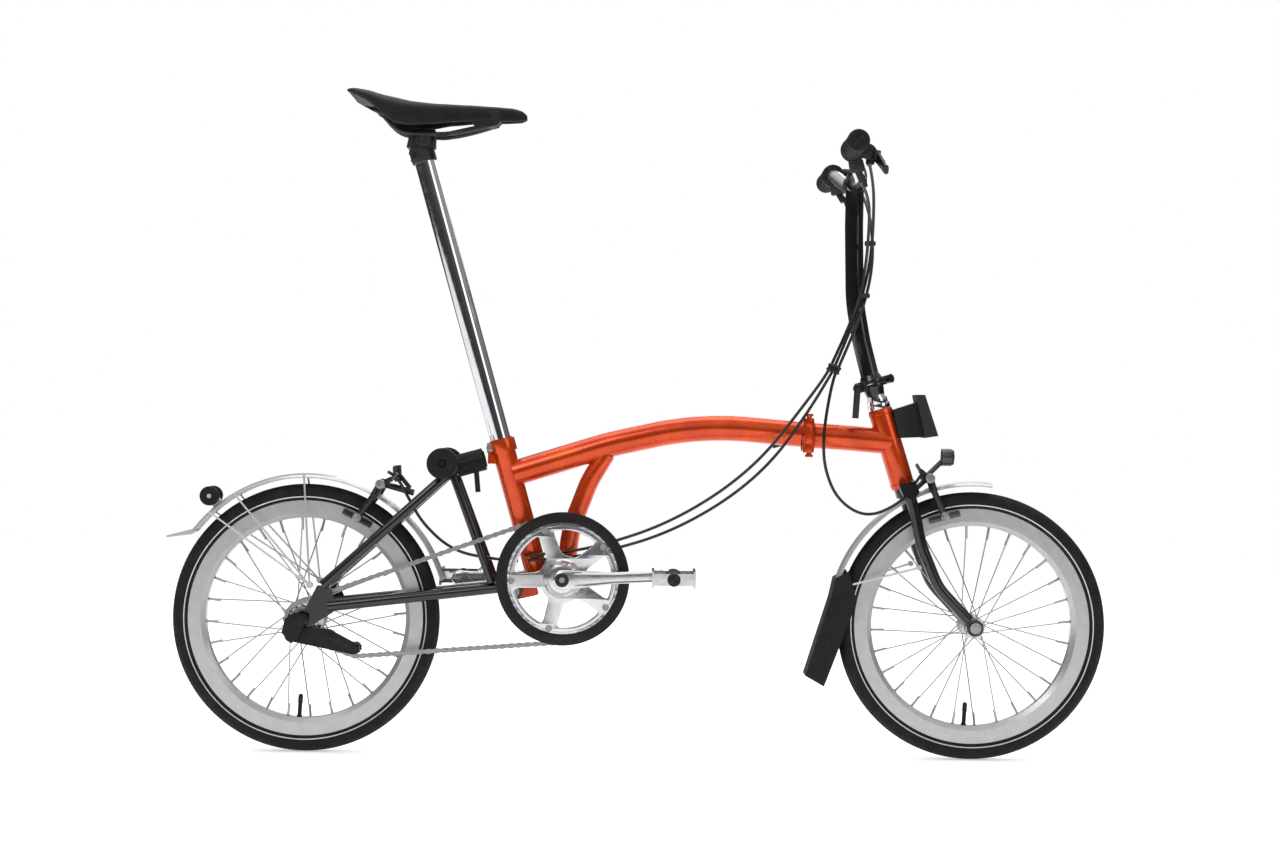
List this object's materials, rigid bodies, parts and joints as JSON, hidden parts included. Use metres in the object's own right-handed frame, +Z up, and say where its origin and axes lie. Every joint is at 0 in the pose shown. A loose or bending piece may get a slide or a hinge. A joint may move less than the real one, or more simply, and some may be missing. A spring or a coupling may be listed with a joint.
{
  "type": "folding bicycle",
  "caption": "Folding bicycle with small wheels, a curved hinged main tube, a folding stem, a swinging rear triangle, mudguards and a tall seat post.",
  "frame": {"origin": "on the ground, midway along the length, in the plane of the wheels", "axes": "+X forward, +Y to the rider's left, +Z up"},
  "size_m": [1.4628, 0.568, 1.0298],
  "materials": {
    "orange_lacquer": "clear lacquer over copper orange, glossy",
    "black_paint": "gloss black",
    "black_plastic": "moulded",
    "black_rubber": "matt",
    "tyre": "tread",
    "silver_alloy": "satin",
    "polished_alloy": "polished",
    "chrome": "polished",
    "steel": "zinc plated",
    "chain_steel": "oiled",
    "saddle_skin": "grained cover",
    "black_alloy": "anodised"
  },
  "bodies": {
    "frame": {"main_tube_rear": "orange_lacquer", "seat_tube": "orange_lacquer", "bb_shell": "orange_lacquer", "hinge_plate_rear": "orange_lacquer", "cables_main": "black_rubber"},
    "frame_clamp": {"frame_clamp_lever": "black_plastic"},
    "seat_qr": {"seat_clamp_lever": "steel"},
    "seatpost": {"seat_post": "chrome", "saddle_clamp": "black_plastic", "saddle_cover": "saddle_skin"},
    "front_frame": {"main_tube_front": "orange_lacquer", "head_tube": "orange_lacquer", "luggage_block": "black_plastic"},
    "fork": {"steerer": "chrome", "stem_base": "black_paint", "fork": "black_paint", "front_axle": "steel", "front_mudguard": "silver_alloy", "front_flap": "black_rubber", "front_brake": "black_alloy", "cable_front_brake": "black_rubber"},
    "stem_clamp": {"stem_clamp_lever": "black_plastic"},
    "stem": {"stem": "black_paint", "handlebar": "polished_alloy", "grips": "black_rubber", "shifters": "black_plastic", "cables_handlebar": "black_rubber"},
    "lever_right": {"brake_lever_right": "black_alloy"},
    "lever_left": {"brake_lever_left": "black_alloy"},
    "front_wheel": {"rim_front": "silver_alloy", "tyre_front": "tyre", "hub_front": "polished_alloy", "spokes_front": "steel"},
    "rear_wheel": {"rim_rear": "silver_alloy", "tyre_rear": "tyre", "hub_rear": "polished_alloy", "spokes_rear": "steel"},
    "rear_frame": {"chainstays": "black_paint", "seatstays": "black_paint", "suspension_block": "black_rubber", "rear_axle": "steel", "rear_mudguard": "silver_alloy", "rear_brake": "black_alloy", "rear_flap": "silver_alloy", "cable_rear_brake": "black_rubber", "chain": "chain_steel", "tensioner_body": "black_plastic"},
    "guard_roller": {"guard_roller": "black_rubber"},
    "rollers": {"rollers": "black_rubber"},
    "sprocket": {"sprocket": "steel"},
    "tensioner": {"chain_tensioner": "black_plastic"},
    "jockey_front": {"jockey_front": "black_plastic"},
    "jockey_rear": {"jockey_rear": "black_plastic"},
    "crank": {"chainring": "polished_alloy", "chain_guard": "black_plastic", "crank_arm_right": "polished_alloy", "crank_arm_left": "polished_alloy", "bb_axle": "steel"},
    "pedal_right": {"pedal_right": "chrome"},
    "pedal_left": {"pedal_left": "chrome"}
  },
  "joints": [
    {"name": "frame_fold", "type": "hinge", "parent": "frame", "child": "front_frame", "pos_m": [0.2644, -0.033, 0.5025], "axis": [0, 0, 1], "range_deg": [-120, 0], "deforming": ["cables_main"]},
    {"name": "rear_fold", "type": "hinge", "parent": "frame", "child": "rear_frame", "pos_m": [-0.1897, 0, 0.255], "axis": [0, -1, 0], "range_deg": [0, 112], "deforming": ["chain", "cable_rear_brake"]},
    {"name": "steering", "type": "hinge", "parent": "front_frame", "child": "fork", "pos_m": [0.3794, 0, 0.5364], "axis": [0.2997, 0, -0.954], "range_deg": [-45, 45], "deforming": ["cable_front_brake"]},
    {"name": "stem_fold", "type": "hinge", "parent": "fork", "child": "stem", "pos_m": [0.38397, 0.0205, 0.59025], "axis": [-0.6746, 0.7071, -0.2119], "range_deg": [0, 145], "deforming": ["cables_handlebar"]},
    {"name": "frame_clamp_turn", "type": "hinge", "parent": "frame", "child": "frame_clamp", "pos_m": [0.2644, 0.038, 0.5025], "axis": [0, 1, 0], "range_deg": [0, 150]},
    {"name": "stem_clamp_turn", "type": "hinge", "parent": "stem", "child": "stem_clamp", "pos_m": [0.34772, -0.0175, 0.57886], "axis": [-0.6746, -0.7071, -0.2119], "range_deg": [0, 60]},
    {"name": "seat_clamp_open", "type": "hinge", "parent": "frame", "child": "seat_qr", "pos_m": [-0.2301, 0, 0.4765], "axis": [0, 1, 0], "range_deg": [0, 90]},
    {"name": "seat_height", "type": "slide", "parent": "frame", "child": "seatpost", "axis": [-0.275, 0, 0.9614], "range_m": [-0.3, 0]},
    {"name": "crank_spin", "type": "hinge", "parent": "frame", "child": "crank", "pos_m": [-0.1139, 0, 0.2765], "axis": [0, 1, 0], "continuous": true},
    {"name": "pedal_right_spin", "type": "hinge", "parent": "crank", "child": "pedal_right", "pos_m": [0.05588, -0.12, 0.2851], "axis": [0, 1, 0], "continuous": true},
    {"name": "pedal_left_spin", "type": "hinge", "parent": "crank", "child": "pedal_left", "pos_m": [-0.28368, 0.12, 0.2679], "axis": [0, 1, 0], "continuous": true},
    {"name": "front_wheel_spin", "type": "hinge", "parent": "fork", "child": "front_wheel", "pos_m": [0.5229, 0, 0.2085], "axis": [0, 1, 0], "continuous": true},
    {"name": "rear_wheel_spin", "type": "hinge", "parent": "rear_frame", "child": "rear_wheel", "pos_m": [-0.515, 0, 0.2085], "axis": [0, 1, 0], "continuous": true},
    {"name": "sprocket_spin", "type": "hinge", "parent": "rear_frame", "child": "sprocket", "pos_m": [-0.515, -0.045, 0.2085], "axis": [0, 1, 0], "continuous": true},
    {"name": "tensioner_swing", "type": "hinge", "parent": "rear_frame", "child": "tensioner", "pos_m": [-0.5282, -0.06, 0.1863], "axis": [0, 1, 0], "range_deg": [0, 0.5]},
    {"name": "jockey_front_spin", "type": "hinge", "parent": "tensioner", "child": "jockey_front", "pos_m": [-0.4316, -0.046, 0.1667], "axis": [0, 1, 0], "continuous": true},
    {"name": "jockey_rear_spin", "type": "hinge", "parent": "tensioner", "child": "jockey_rear", "pos_m": [-0.4716, -0.046, 0.1846], "axis": [0, 1, 0], "continuous": true},
    {"name": "guard_roller_spin", "type": "hinge", "parent": "rear_frame", "child": "guard_roller", "pos_m": [-0.6661, 0, 0.3966], "axis": [0, 1, 0], "continuous": true},
    {"name": "rollers_spin", "type": "hinge", "parent": "rear_frame", "child": "rollers", "pos_m": [-0.3016, 0, 0.452], "axis": [0, 1, 0], "continuous": true},
    {"name": "brake_lever_right_pull", "type": "hinge", "parent": "stem", "child": "lever_right", "pos_m": [0.3519, -0.16, 0.919], "axis": [0, 0, 1], "range_deg": [0, 18], "stiffness_Nm_per_rad": 1, "springref_deg": -5.73},
    {"name": "brake_lever_left_pull", "type": "hinge", "parent": "stem", "child": "lever_left", "pos_m": [0.3519, 0.16, 0.919], "axis": [0, 0, -1], "range_deg": [0, 18], "stiffness_Nm_per_rad": 1, "springref_deg": -5.73}
  ],
  "couplings": [
    {"joint": "sprocket_spin", "follows": "crank_spin", "ratio": 3.8462}
  ]
}
